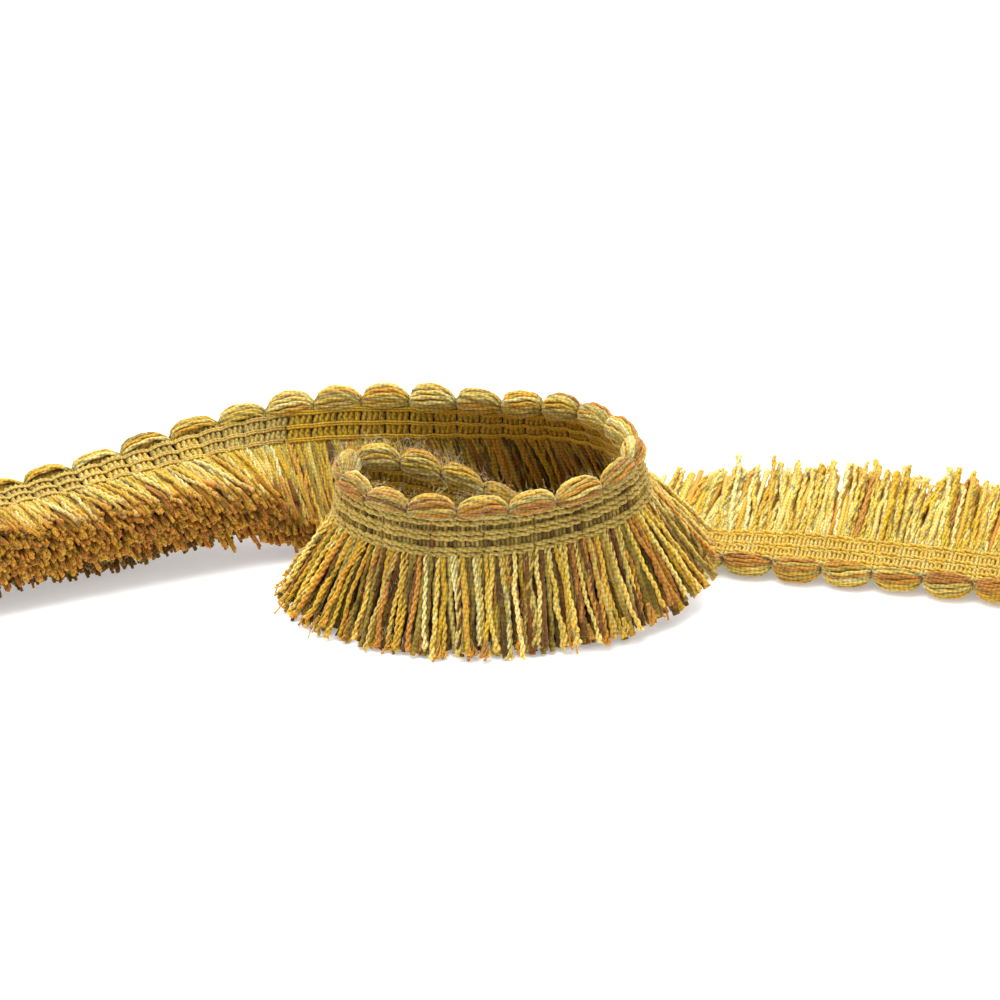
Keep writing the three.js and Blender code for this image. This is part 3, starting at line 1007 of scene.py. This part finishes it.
@dataclass
class Heading:
    """The woven band: cloth, weft ribs on both faces, three rows of paired cords, and their bindings."""

    top: float = 1.5
    rows: tuple[float, ...] = (3.6, 7.9, 13.0)
    ring_step: float = 1.0
    rib_pitch: float = 1.25
    back_ribs: int = 4
    back_rows: tuple[float, ...] = (4.4, 8.6, 12.9)
    # Half puff from which the reverse takes darker dyes: painted shade
    first_painted_shade_half: int = 17
    cut_length: float = 0.62
    cloth_thickness: float = 0.8
    cloth_steps: int = 410
    # Dark umber ground cloth: painted shade in the gaps between the ribs
    cloth_dye: float = 0.8
    cord_gap: float = 0.44
    cord_bulge: float = 0.34
    cord_rise: float = 0.75
    back_cord_gap: float = 0.34
    back_cord_rise: float = 1.1
    stitch_half: float = 0.8
    nip_ring: float = 1.35
    nip_down: float = 2.7
    nip_shift: float = 0.022
    nip_dye: float = 0.38
    seed: int = 23

    def build(self, lie: Lie, yarn: bpy.types.Material, cloth: bpy.types.Material) -> list[bpy.types.Object]:
        """Makes the heading.

        Args:
            lie: The way that the trim lies.
            yarn: Finish of its yarns.
            cloth: Finish of the cloth under them.

        Returns:
            The pieces.
        """
        rng = np.random.default_rng(self.seed)
        return [
            self._cloth(lie, cloth),
            self._cords(lie, rng, yarn),
            self._front_ribs(lie, rng, yarn),
            self._back(lie, rng, yarn),
            self._threads(lie, rng, yarn),
        ]

    def _cloth(self, lie: Lie, material: bpy.types.Material) -> bpy.types.Object:
        """The thin ground cloth that carries everything, as one sheet."""
        width = HEADING_REACH - self.top
        grid = bmesh.new()
        uv = grid.loops.layers.uv.new("YarnMap")
        bmesh.ops.create_grid(grid, x_segments=self.cloth_steps, y_segments=4, size=1.0, calc_uvs=False)
        flat = np.array([vertex.co[:] for vertex in grid.verts])
        puff = FIRST_NIP + (LAST_NIP - FIRST_NIP) * (flat[:, 0] + 1) / 2
        down = self.top + width * (flat[:, 1] + 1) / 2
        points = lie.at(puff).on_band(down, np.zeros_like(down)) * MM
        for vertex, point in zip(grid.verts, points):
            vertex.co = Vector(point)
        for face in grid.faces:
            for loop in face.loops:
                at = loop.vert.index
                loop[uv].uv = (puff[at] * PUFF_LENGTH, down[at])
        bmesh.ops.solidify(grid, geom=grid.faces[:], thickness=self.cloth_thickness * MM)
        bmesh.ops.recalc_face_normals(grid, faces=grid.faces[:])
        mesh = bpy.data.meshes.new("heading_cloth")
        grid.to_mesh(mesh)
        grid.free()
        for label, value in (("dye", self.cloth_dye), ("tip", 0.0)):
            attribute = mesh.attributes.new(label, "FLOAT", "POINT")
            attribute.data.foreach_set("value", np.full(len(mesh.vertices), value, np.float32))
        mesh.shade_smooth()
        return place_piece(mesh, "heading_cloth", ("heading",), material)

    def _cords(self, lie: Lie, rng: np.random.Generator, material: bpy.types.Material) -> bpy.types.Object:
        """Three rows of two twisted cords that part between their bindings."""
        rings = round((LAST_NIP - FIRST_NIP) * PUFF_LENGTH / self.ring_step)
        puff = np.linspace(FIRST_NIP + 0.01, LAST_NIP - 0.01, rings)
        spot = lie.at(puff)
        cords = YarnMesh()
        for number, row in enumerate(self.rows):
            wander = 0.18 * np.sin(0.9 * puff + 2 * number)
            free = np.abs(np.sin(2 * np.pi * puff)) ** 0.45
            for side in (-1, 1):
                bulge = self.cord_bulge * free * (1 + 0.3 * np.sin(3.3 * puff + number + side))
                part = side * (self.cord_gap + bulge)
                off = WEB_HALF - 0.05 + self.cord_rise * free + 0.05 * side
                path = spot.on_band(row + wander + part, off)
                olive = pick_dyes(rng, {Dye.MOSS: 1}, (), 0.2)
                gold = pick_dyes(rng, {Dye.STRAW: 1}, (), 0.5)
                dye = np.where(puff > GOLD_FROM, gold, olive)[None, None]
                cords.add(path[None], spot.face[None], CORD_YARN, dye, phase=rng.uniform(0, 6))
        return cords.make("heading_cords", Slot.HEADING, ("heading",), material)

    def _front_ribs(
        self, lie: Lie, rng: np.random.Generator, material: bpy.types.Material
    ) -> bpy.types.Object:
        """Weft ribs that run down the outer face, under the cords."""
        count = round((LAST_NIP - FIRST_NIP) * PUFF_LENGTH / self.rib_pitch)
        puff = FIRST_NIP + (LAST_NIP - FIRST_NIP) * (np.arange(count) + 0.5) / count
        puff = puff + rng.normal(0, 0.006, count)
        down = np.linspace(self.top + 0.4, HEADING_REACH - 0.1, 10)
        near_row = np.min(np.abs(down[:, None] - np.array(self.rows)[None]), axis=1)
        off = WEB_HALF - 0.4 + 0.3 * smooth(near_row / 1.6)
        off = off + 0.55 * smooth(puff[:, None] - 27)
        spot = lie.at(np.repeat(puff[:, None], down.size, axis=1))
        path = spot.on_band(np.broadcast_to(down, spot.lean.shape), np.broadcast_to(off, spot.lean.shape))
        at_binding = np.abs(np.sin(2 * np.pi * puff)) < 0.42
        plain = pick_dyes(rng, {Dye.OLIVE: 7, Dye.MOSS: 2.5, Dye.UMBER: 1.5}, (count,), 0.3)
        bound = pick_dyes(rng, {Dye.RUST: 0.6, Dye.UMBER: 1.4, Dye.OLIVE: 4}, (count,), 0.3)
        gold = pick_dyes(rng, {Dye.STRAW: 1}, (count,), 0.4)
        ribs = YarnMesh()
        olive = np.where(at_binding, bound, plain)
        ribs.add(path, spot.travel, RIB_YARN, np.where(puff > GOLD_FROM, gold, olive))
        return ribs.make("heading_ribs", Slot.HEADING, ("heading",), material)

    def _back(self, lie: Lie, rng: np.random.Generator, material: bpy.types.Material) -> bpy.types.Object:
        """Thick weft loops on the inner face: a rounded block for each half puff, nipped by fine threads."""
        halves = round((LAST_NIP - FIRST_NIP) * 2)
        block = np.repeat(np.arange(halves), self.back_ribs)
        column_at = np.tile((np.arange(self.back_ribs) + 0.5) / self.back_ribs, halves)
        puff = FIRST_NIP + (block + 0.05 + 0.9 * column_at) / 2
        down = np.linspace(self.top + 0.2, HEADING_REACH + 0.4, 12)
        near_row = np.min(np.abs(down[:, None] - np.array(self.back_rows)[None]), axis=1)
        bulge = smooth(near_row / 1.6)
        rounded = np.sqrt(np.clip(1 - (2 * column_at - 1) ** 2, 0.1, 1))
        off = -(0.1 + 0.95 * rounded[:, None] * (0.7 + 0.3 * bulge[None]))
        spot = lie.at(np.repeat(puff[:, None], down.size, axis=1))
        path = spot.on_band(np.broadcast_to(down, spot.lean.shape), off)
        # Moss and straw where the reverse lies face up; the darker mustard from the ring's back on is painted
        # shade, as there the reverse faces into the ring or down
        light = pick_dyes(rng, {Dye.MOSS: 3, Dye.STRAW: 1}, (halves,), 0.3)
        painted_shade_dye = pick_dyes(rng, {Dye.MUSTARD: 4, Dye.GOLD: 1}, (halves,), 0.4)
        dye = np.repeat(np.where(np.arange(halves) < self.first_painted_shade_half, light, painted_shade_dye), self.back_ribs)
        dye = dye + rng.normal(0, 0.02, puff.size)
        ribs = YarnMesh()
        ribs.add(
            path,
            spot.travel,
            BACK_YARN,
            np.clip(dye, 0, 1),
            swell=np.broadcast_to(0.95 + 0.08 * bulge, off.shape),
            phase=rng.uniform(0, 6, puff.size),
        )
        return ribs.make("heading_back", Slot.HEADING, ("heading",), material)

    def _threads(self, lie: Lie, rng: np.random.Generator, material: bpy.types.Material) -> bpy.types.Object:
        """Fine binding threads along the inner face, and short stitches over the cords and nips."""
        threads = YarnMesh()
        rings = round((LAST_NIP - FIRST_NIP) * 10)
        puff = np.linspace(FIRST_NIP + 0.01, LAST_NIP - 0.01, rings)
        spot = lie.at(puff)
        for number, row in enumerate(self.back_rows):
            for side in (-1, 1):
                free = np.abs(np.sin(2 * np.pi * puff)) ** 0.7
                off = -(WEB_HALF + self.back_cord_rise * free)
                wander = 0.1 * np.sin(5 * puff + number)
                path = spot.on_band(row + self.back_cord_gap * side + wander, off)
                # The cords on the reverse darken from the same place on: painted shade
                light = pick_dyes(rng, {Dye.MOSS: 1}, (), 0.2)
                painted_shade_dye = pick_dyes(rng, {Dye.MUSTARD: 1}, (), 0.4)
                dye = np.where(puff < FIRST_NIP + self.first_painted_shade_half / 2, light, painted_shade_dye)[None, None]
                threads.add(path[None], spot.face[None], BACK_CORD, dye)
        half = np.arange(round(FIRST_NIP * 2), round(LAST_NIP * 2) + 1)[1:-1] / 2
        bend = np.linspace(-1, 1, 7)
        for row in self.rows:
            stitch = lie.at(np.repeat(half[:, None], bend.size, axis=1))
            down = np.broadcast_to(row + self.stitch_half * bend, stitch.lean.shape)
            rise = self.cord_rise * np.sqrt(np.clip(1 - bend**2, 0, 1))
            off = np.broadcast_to(WEB_HALF + 0.1 + rise, stitch.lean.shape)
            path = stitch.on_band(down, off)
            dye = pick_dyes(rng, {Dye.OLIVE: 4, Dye.UMBER: 1}, (half.size,), 0.4)
            threads.add(path, stitch.travel, THREAD, dye, swell=1.3)
        nips = np.arange(FIRST_NIP + 1, LAST_NIP)
        turn = np.linspace(0, 2 * np.pi, 10)
        for shift in (-self.nip_shift, self.nip_shift):
            ring = lie.at(np.repeat(nips[:, None] + shift, turn.size, axis=1))
            down = np.broadcast_to(self.nip_down - self.nip_ring * np.cos(turn), ring.lean.shape)
            off = np.broadcast_to(self.nip_ring * np.sin(turn), ring.lean.shape)
            path = ring.on_band(down, off)
            threads.add(path, ring.travel, THREAD, np.full(nips.size, self.nip_dye), swell=1.2)
        return threads.make("heading_threads", Slot.HEADING, ("heading",), material)


@dataclass
class Fuzz:
    """Loose fibres that stand off the scallops, the heading and the yarns of the ring."""

    hairs: int = 1650
    seed: int = 41
    rings: int = 8
    on_puffs: float = 0.6
    on_fringe: float = 0.22
    on_ring: float = 0.75
    ring_first: float = 14.0
    ring_span: float = 13.5
    outer_share: float = 0.7
    spring: float = 0.75
    curl: float = 0.3
    shortest: float = 0.8
    longest: float = 8.0
    fringe_depth: float = 28.0
    standing_height: float = 15.0
    fringe_off: float = 1.6

    def build(self, lie: Lie, material: bpy.types.Material) -> bpy.types.Object:
        """Makes the loose fibres.

        Args:
            lie: The way that the trim lies.
            material: Their finish.

        Returns:
            The piece.
        """
        rng = np.random.default_rng(self.seed)
        total = self.hairs
        near_ring = rng.random(total) < self.on_ring
        on_ring = self.ring_first + self.ring_span * rng.beta(2.2, 1.2, total)
        anywhere = rng.uniform(FIRST_NIP + 0.1, LAST_NIP - 0.1, total)
        puff = np.where(near_ring, on_ring, anywhere)
        spot = lie.at(puff)
        kind = rng.random(total)
        on_puff = kind < self.on_puffs
        on_fringe = kind > 1 - self.on_fringe
        turn = rng.uniform(-0.8 * np.pi, 0.8 * np.pi, total)
        swell = np.abs(np.cos(np.pi * puff)) ** 0.5
        radius = 1.4 + 2.1 * swell
        down = np.where(on_puff, -radius * np.cos(turn) - 0.3, rng.uniform(3, 15, total))
        side = np.where(on_fringe | (rng.random(total) < self.outer_share), 1, -1)
        off = np.where(on_puff, radius * np.sin(turn), 1.4 * side)
        base = spot.on_band(down, off)
        along = spot.strand(spot.outer, rng.normal(0, 4, total))
        # Where the roots stand high, the yarn ends at the floor
        height = spot.root[..., 2]
        to_floor = 0.9 * height / np.maximum(-along[..., 2], 0.3)
        low = np.where(height > self.standing_height, to_floor, self.fringe_depth)
        low = np.minimum(low, self.fringe_depth)
        on_yarn = spot.root + column(low * rng.beta(2.0, 1.2, total)) * along
        base = np.where(column(on_fringe), on_yarn + self.fringe_off * spot.face, base)
        outward = column(np.where(on_puff, -np.cos(turn), 0.2)) * spot.heading
        outward = outward + column(np.where(on_puff, np.sin(turn), side)) * spot.face
        aim = unit(outward + rng.normal(0, 0.8, (total, 3)))
        curl = unit(rng.normal(0, 1, (total, 3)))
        other = unit(np.cross(aim, curl))
        length = rng.gamma(2.6, 1.25, total).clip(self.shortest, self.longest)
        share = np.linspace(0, 1, self.rings)[None, :, None]
        paths = base[:, None] + self.spring * column(column(length)) * share * aim[:, None]
        turns = column(column(rng.uniform(2.0, 7.0, total)))
        bend = column(column(self.curl * length)) * share
        wound = np.sin(turns * share) * curl[:, None] + np.cos(turns * share) * other[:, None]
        paths = paths + bend * wound
        dye = pick_dyes(rng, {Dye.CREAM: 2, Dye.STRAW: 4, Dye.GOLD: 2, Dye.TERRACOTTA: 1}, (total,), 0.4)
        hairs = YarnMesh()
        hairs.add(paths, curl, HAIR, dye, swell=np.linspace(1.2, 0.6, self.rings)[None] * np.ones((total, 1)))
        return hairs.make("loose_fibres", Slot.SCALLOP, ("scallop_edge",), material)


RING_DYES = {
    Dye.STRAW: 7,
    Dye.CREAM: 2.2,
    Dye.LEMON: 1.5,
    Dye.MUSTARD: 1,
    Dye.GOLD: 2,
    Dye.TERRACOTTA: 2.6,
    Dye.RUST: 0.4,
    Dye.MOSS: 1,
}
# The layer just behind the ring's outer strands: partly the olive yarn's own colour, partly painted shade in
# its darker olive and umber, so the gaps between the outer strands read dark
UNDER_DYES = {Dye.OLIVE: 4, Dye.MOSS: 3, Dye.UMBER: 1.4, Dye.RUST: 0.8, Dye.MUSTARD: 1, Dye.TERRACOTTA: 0.8}
SIDE_DYES = {Dye.MOSS: 5, Dye.STRAW: 2.5, Dye.OLIVE: 0.8, Dye.GOLD: 2, Dye.TERRACOTTA: 0.8}
TUFT_DYES = {Dye.OCHRE: 3, Dye.TERRACOTTA: 3, Dye.GOLD: 1}
# Dark olive, umber and rust for the fill yarns deep in the brush, so the gaps between the strands in front read
# dark: painted shade
RING_FILL_SHADE_DYES = {Dye.OLIVE: 4, Dye.UMBER: 2, Dye.RUST: 1.5, Dye.TERRACOTTA: 1}
LEFT_FILL_SHADE_DYES = {Dye.TERRACOTTA: 1, Dye.RUST: 4, Dye.UMBER: 3}
# Darker mustard, ochre, olive and umber for the brush's inner face at the ring's back and inside the ring:
# painted shade, as the same yarn lies in the ring's shade there
PAINTED_SHADE_DYES = {Dye.MUSTARD: 4, Dye.OCHRE: 3, Dye.OLIVE: 3, Dye.UMBER: 1.5, Dye.GOLD: 1}
LEFT_DYES = {Dye.STRAW: 5, Dye.CREAM: 1.6, Dye.LEMON: 1.2, Dye.MUSTARD: 1.6, Dye.GOLD: 3, Dye.MOSS: 1}
CUT_TOP_DYES = {Dye.OCHRE: 4, Dye.GOLD: 2, Dye.MUSTARD: 3, Dye.TERRACOTTA: 2.5, Dye.RUST: 3, Dye.STRAW: 0.5}
# Dark umber for the lower half of the left stretch's cut face: painted shade, darker towards the bottom as the
# light falls from above
PAINTED_SHADE_CUT_DYES = {Dye.UMBER: 9, Dye.RUST: 1.5, Dye.OLIVE: 0.5}
RIGHT_DYES = {
    Dye.STRAW: 8,
    Dye.CREAM: 3.5,
    Dye.LEMON: 2.5,
    Dye.GOLD: 3,
    Dye.OCHRE: 0.8,
    Dye.TERRACOTTA: 0.6,
}


@dataclass
class Brush:
    """The cut brush, layer by layer."""

    def layers(self) -> list[BrushLayer]:
        """The layers, from the ones that show most to the ones that fill the brush."""
        return [
            BrushLayer(
                "brush_ring_outer", first=9.8, last=26.4, per_puff=8.8, rows=1, depth=(-0.02, 0.04),
                twist=FRINGE_YARN, rings=36, dyes=RING_DYES, seed=101,
                replaces=("brush_wall", "locks_ring"), wave=0.6,
            ),
            BrushLayer(
                "brush_ring_under", first=14.6, last=26.4, per_puff=13.0, rows=1, depth=(0.08, 0.18),
                twist=WOOLLY_YARN, rings=18, dyes=UNDER_DYES, seed=102, stray_drag=2.5,
            ),
            BrushLayer(
                "brush_ring_side", first=9.8, last=15.3, per_puff=11.0, rows=2, depth=(-0.12, 0.1),
                twist=WOOLLY_YARN, rings=18, dyes=SIDE_DYES, seed=111, wave=0.8, stray_drag=6,
            ),
            BrushLayer(
                "brush_ring_tufts", first=13.0, last=24.0, per_puff=2.2, rows=1, depth=(-0.04, 0.02),
                twist=TUFT_YARN, rings=6, dyes=TUFT_DYES, seed=112, from_share=0.84, bloom=1.2,
                fray=1.4, uneven=0.8,
            ),
            BrushLayer(
                "brush_left_top", first=-2.45, last=6.0, per_puff=10.5, rows=2, depth=(0.86, 1.0),
                twist=SOFT_YARN, rings=16, dyes=LEFT_DYES, seed=103,
                replaces=("brush_wall", "locks_left"), wave=0.4, fray=0.6, droop=6.0, reach=27,
                golden_tips=True,
            ),
            BrushLayer(
                "brush_back_top", first=6.0, last=13.5, per_puff=10.5, rows=2, depth=(0.86, 1.0),
                twist=SOFT_YARN, rings=12, dyes=PAINTED_SHADE_DYES, seed=113, wave=0.4, fray=0.6,
            ),
            BrushLayer(
                "brush_left_mid", first=-2.45, last=8.0, per_puff=11.0, rows=2, depth=(0.74, 0.88),
                twist=FILL_YARN, rings=6, dyes=LEFT_DYES, seed=114, droop=6.0, reach=25,
                golden_tips=True, bloom=0.3,
            ),
            BrushLayer(
                "brush_left_cut_upper", first=-2.45, last=7.5, per_puff=12.0, rows=9, depth=(0.5, 0.9),
                twist=CUT_YARN, rings=4, dyes=CUT_TOP_DYES, seed=104, reach=29, bloom=0.05,
                from_share=0.5, wave=0.4, fray=0.6, uneven=0.8, stray_angle=3.5, stray_drag=4,
                droop=6.5, golden_tips=True,
            ),
            # The lower cut ends are dyed dark umber as painted shade
            BrushLayer(
                "brush_left_cut_lower", first=-2.45, last=7.5, per_puff=12.0, rows=9, depth=(0.0, 0.5),
                twist=CUT_YARN, rings=4, dyes=PAINTED_SHADE_CUT_DYES, seed=105, reach=25, bloom=0.05,
                from_share=0.5, wave=0.4, fray=0.6, uneven=0.7, stray_angle=2.5, stray_drag=3,
                droop=1.5,
            ),
            BrushLayer(
                "brush_right_top", first=27.4, last=38.45, per_puff=11.0, rows=2, depth=(0.0, 0.12),
                twist=SOFT_YARN, rings=21, dyes=RIGHT_DYES, seed=106,
                replaces=("brush_wall", "locks_right"), uneven=2.0, stray_angle=3.5, stray_drag=4,
                clump=0.6, bow=0.5,
            ),
            BrushLayer(
                "brush_right_fill", first=27.0, last=38.45, per_puff=8.0, rows=8, depth=(0.1, 1.0),
                twist=FILL_YARN, rings=5, dyes=RIGHT_DYES, seed=107, uneven=2.0,
            ),
            # Fill yarns dyed dark as painted shade between the strands
            BrushLayer(
                "brush_ring_fill", first=7.0, last=27.0, per_puff=8.0, rows=6, depth=(0.36, 0.92),
                twist=FILL_YARN, rings=5, dyes=RING_FILL_SHADE_DYES, seed=108,
            ),
            BrushLayer(
                "brush_ring_inner", first=13.5, last=27.5, per_puff=9.0, rows=1, depth=(0.94, 1.0),
                twist=WOOLLY_YARN, rings=10, dyes=PAINTED_SHADE_DYES, seed=109,
            ),
            # Fill yarns dyed dark as painted shade in the cut face
            BrushLayer(
                "brush_left_fill", first=-2.45, last=7.5, per_puff=8.0, rows=8, depth=(0.02, 0.8),
                twist=FILL_YARN, rings=4, dyes=LEFT_FILL_SHADE_DYES, seed=110, uneven=0.6, droop=1.0, reach=23,
                bloom=0.2,
            ),
        ]

    def build(
        self, lie: Lie, plain: bpy.types.Material, golden: bpy.types.Material
    ) -> list[bpy.types.Object]:
        """Makes every layer.

        Args:
            lie: The way that the trim lies.
            plain: Finish of the yarns.
            golden: Finish of the yarns whose cut ends show, browned towards the ends partly as painted shade.

        Returns:
            The pieces.
        """
        return [layer.build(lie, golden if layer.golden_tips else plain) for layer in self.layers()]


@dataclass
class Studio:
    """White floor, soft light and the camera at the photograph's angle, in metres and watts."""

    target: tuple[float, float, float] = (0.00331, 0.00646, 0.022)
    distance: float = 1.3
    elevation: float = 24.0
    lens: float = 156.0
    sensor: float = 36.0
    floor_hex: str = "#ededed"
    floor_half: float = 6.0
    floor_drop: float = 0.0002
    floor_roughness: float = 0.9
    floor_glow: float = 0.3
    surround: float = 0.95
    softbox_size: float = 0.8

    def build(self) -> None:
        """Makes the floor, the lights and the camera."""
        self._floor()
        self._lights()
        self._camera()

    def _floor(self) -> None:
        """A wide floor of matt white card, with a little light of its own that keeps it white."""
        card = bmesh.new()
        bmesh.ops.create_grid(card, x_segments=1, y_segments=1, size=self.floor_half)
        mesh = bpy.data.meshes.new("studio_floor")
        card.to_mesh(mesh)
        card.free()
        # Uncoated card: matt and even, with no gloss to mirror the trim
        material = bpy.data.materials.new("matt_card")
        material.use_nodes = True
        shader = material.node_tree.nodes["Principled BSDF"]
        shader.inputs["Base Color"].default_value = linear(self.floor_hex)
        shader.inputs["Roughness"].default_value = self.floor_roughness
        shader.inputs["Emission Color"].default_value = (1.0, 1.0, 1.0, 1.0)
        shader.inputs["Emission Strength"].default_value = self.floor_glow
        mesh.materials.append(material)
        floor = bpy.data.objects.new("studio_floor", mesh)
        floor.location.z = -self.floor_drop
        bpy.context.scene.collection.objects.link(floor)

    def _lights(self) -> None:
        """An even white surround, a soft box above on the left, and a weaker one behind on the right."""
        world = bpy.data.worlds.new("soft_surround")
        world.use_nodes = True
        background = world.node_tree.nodes["Background"]
        background.inputs["Color"].default_value = (1.0, 1.0, 1.0, 1.0)
        background.inputs["Strength"].default_value = self.surround
        bpy.context.scene.world = world
        for name, place, power in (
            ("key_softbox", (-0.3, -0.05, 0.95), 9.5),
            ("top_softbox", (0.25, 0.3, 0.95), 7.5),
        ):
            lamp = bpy.data.lights.new(name, "AREA")
            lamp.size = self.softbox_size
            lamp.energy = power
            lamp_object = bpy.data.objects.new(name, lamp)
            lamp_object.location = place
            aim = Vector(self.target) - Vector(place)
            lamp_object.rotation_euler = aim.to_track_quat("-Z", "Y").to_euler()
            bpy.context.scene.collection.objects.link(lamp_object)

    def _camera(self) -> None:
        """The camera, at the photograph's angle and distance."""
        camera = bpy.data.cameras.new("camera")
        camera.lens = self.lens
        camera.sensor_width = self.sensor
        raised = math.radians(self.elevation)
        back = Vector((0.0, -math.cos(raised), math.sin(raised)))
        camera_object = bpy.data.objects.new("camera", camera)
        camera_object.location = Vector(self.target) + self.distance * back
        camera_object.rotation_euler = (-back).to_track_quat("-Z", "Y").to_euler()
        bpy.context.scene.collection.objects.link(camera_object)
        bpy.context.scene.camera = camera_object
        bpy.context.scene.view_settings.view_transform = "Standard"


def main() -> None:
    """Builds the trim and its studio."""
    logging.basicConfig(level=logging.INFO, format="%(name)s: %(message)s")
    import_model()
    Studio().build()
    lie = Lie()
    # Combed brush yarn, dull and deep: each strand shows its own twist and dye
    brush_finish = SpunYarn("plied_yarn_brush", shade=0.97).make()
    # Softly spun scallop yarn, the smoothest of the trim, so its swelling bundles keep a faint silky sheen
    scallop_finish = SpunYarn("plied_yarn_scallops", roughness=0.7, sheen=0.15, shade=0.86).make()
    # Woven heading yarn, hard-spun and packed: small streaky ribs with no shine
    heading_finish = SpunYarn("woven_heading_yarn", streak=0.3, shade=0.84).make()
    # Plain-woven ground cloth, matt, dyed dark umber so that it reads as painted shade between the ribs
    cloth_finish = SpunYarn("ground_cloth", streak=0.3, sheen=0.05).make()
    # Cut pile, browner towards its raw ends than the yarn above them: partly the ends' own deeper colour,
    # partly painted shade on the cut face and on the lit tops of the ends
    golden_finish = SpunYarn("plied_yarn_cut_ends", tip_share=0.5, shade=0.82).make()
    Brush().build(lie, brush_finish, golden_finish)
    ScallopEdge().build(lie, scallop_finish)
    heading = Heading()
    pieces = heading.build(lie, heading_finish, cloth_finish)
    Fuzz().build(lie, scallop_finish)


if __name__ == "__main__":
    main()
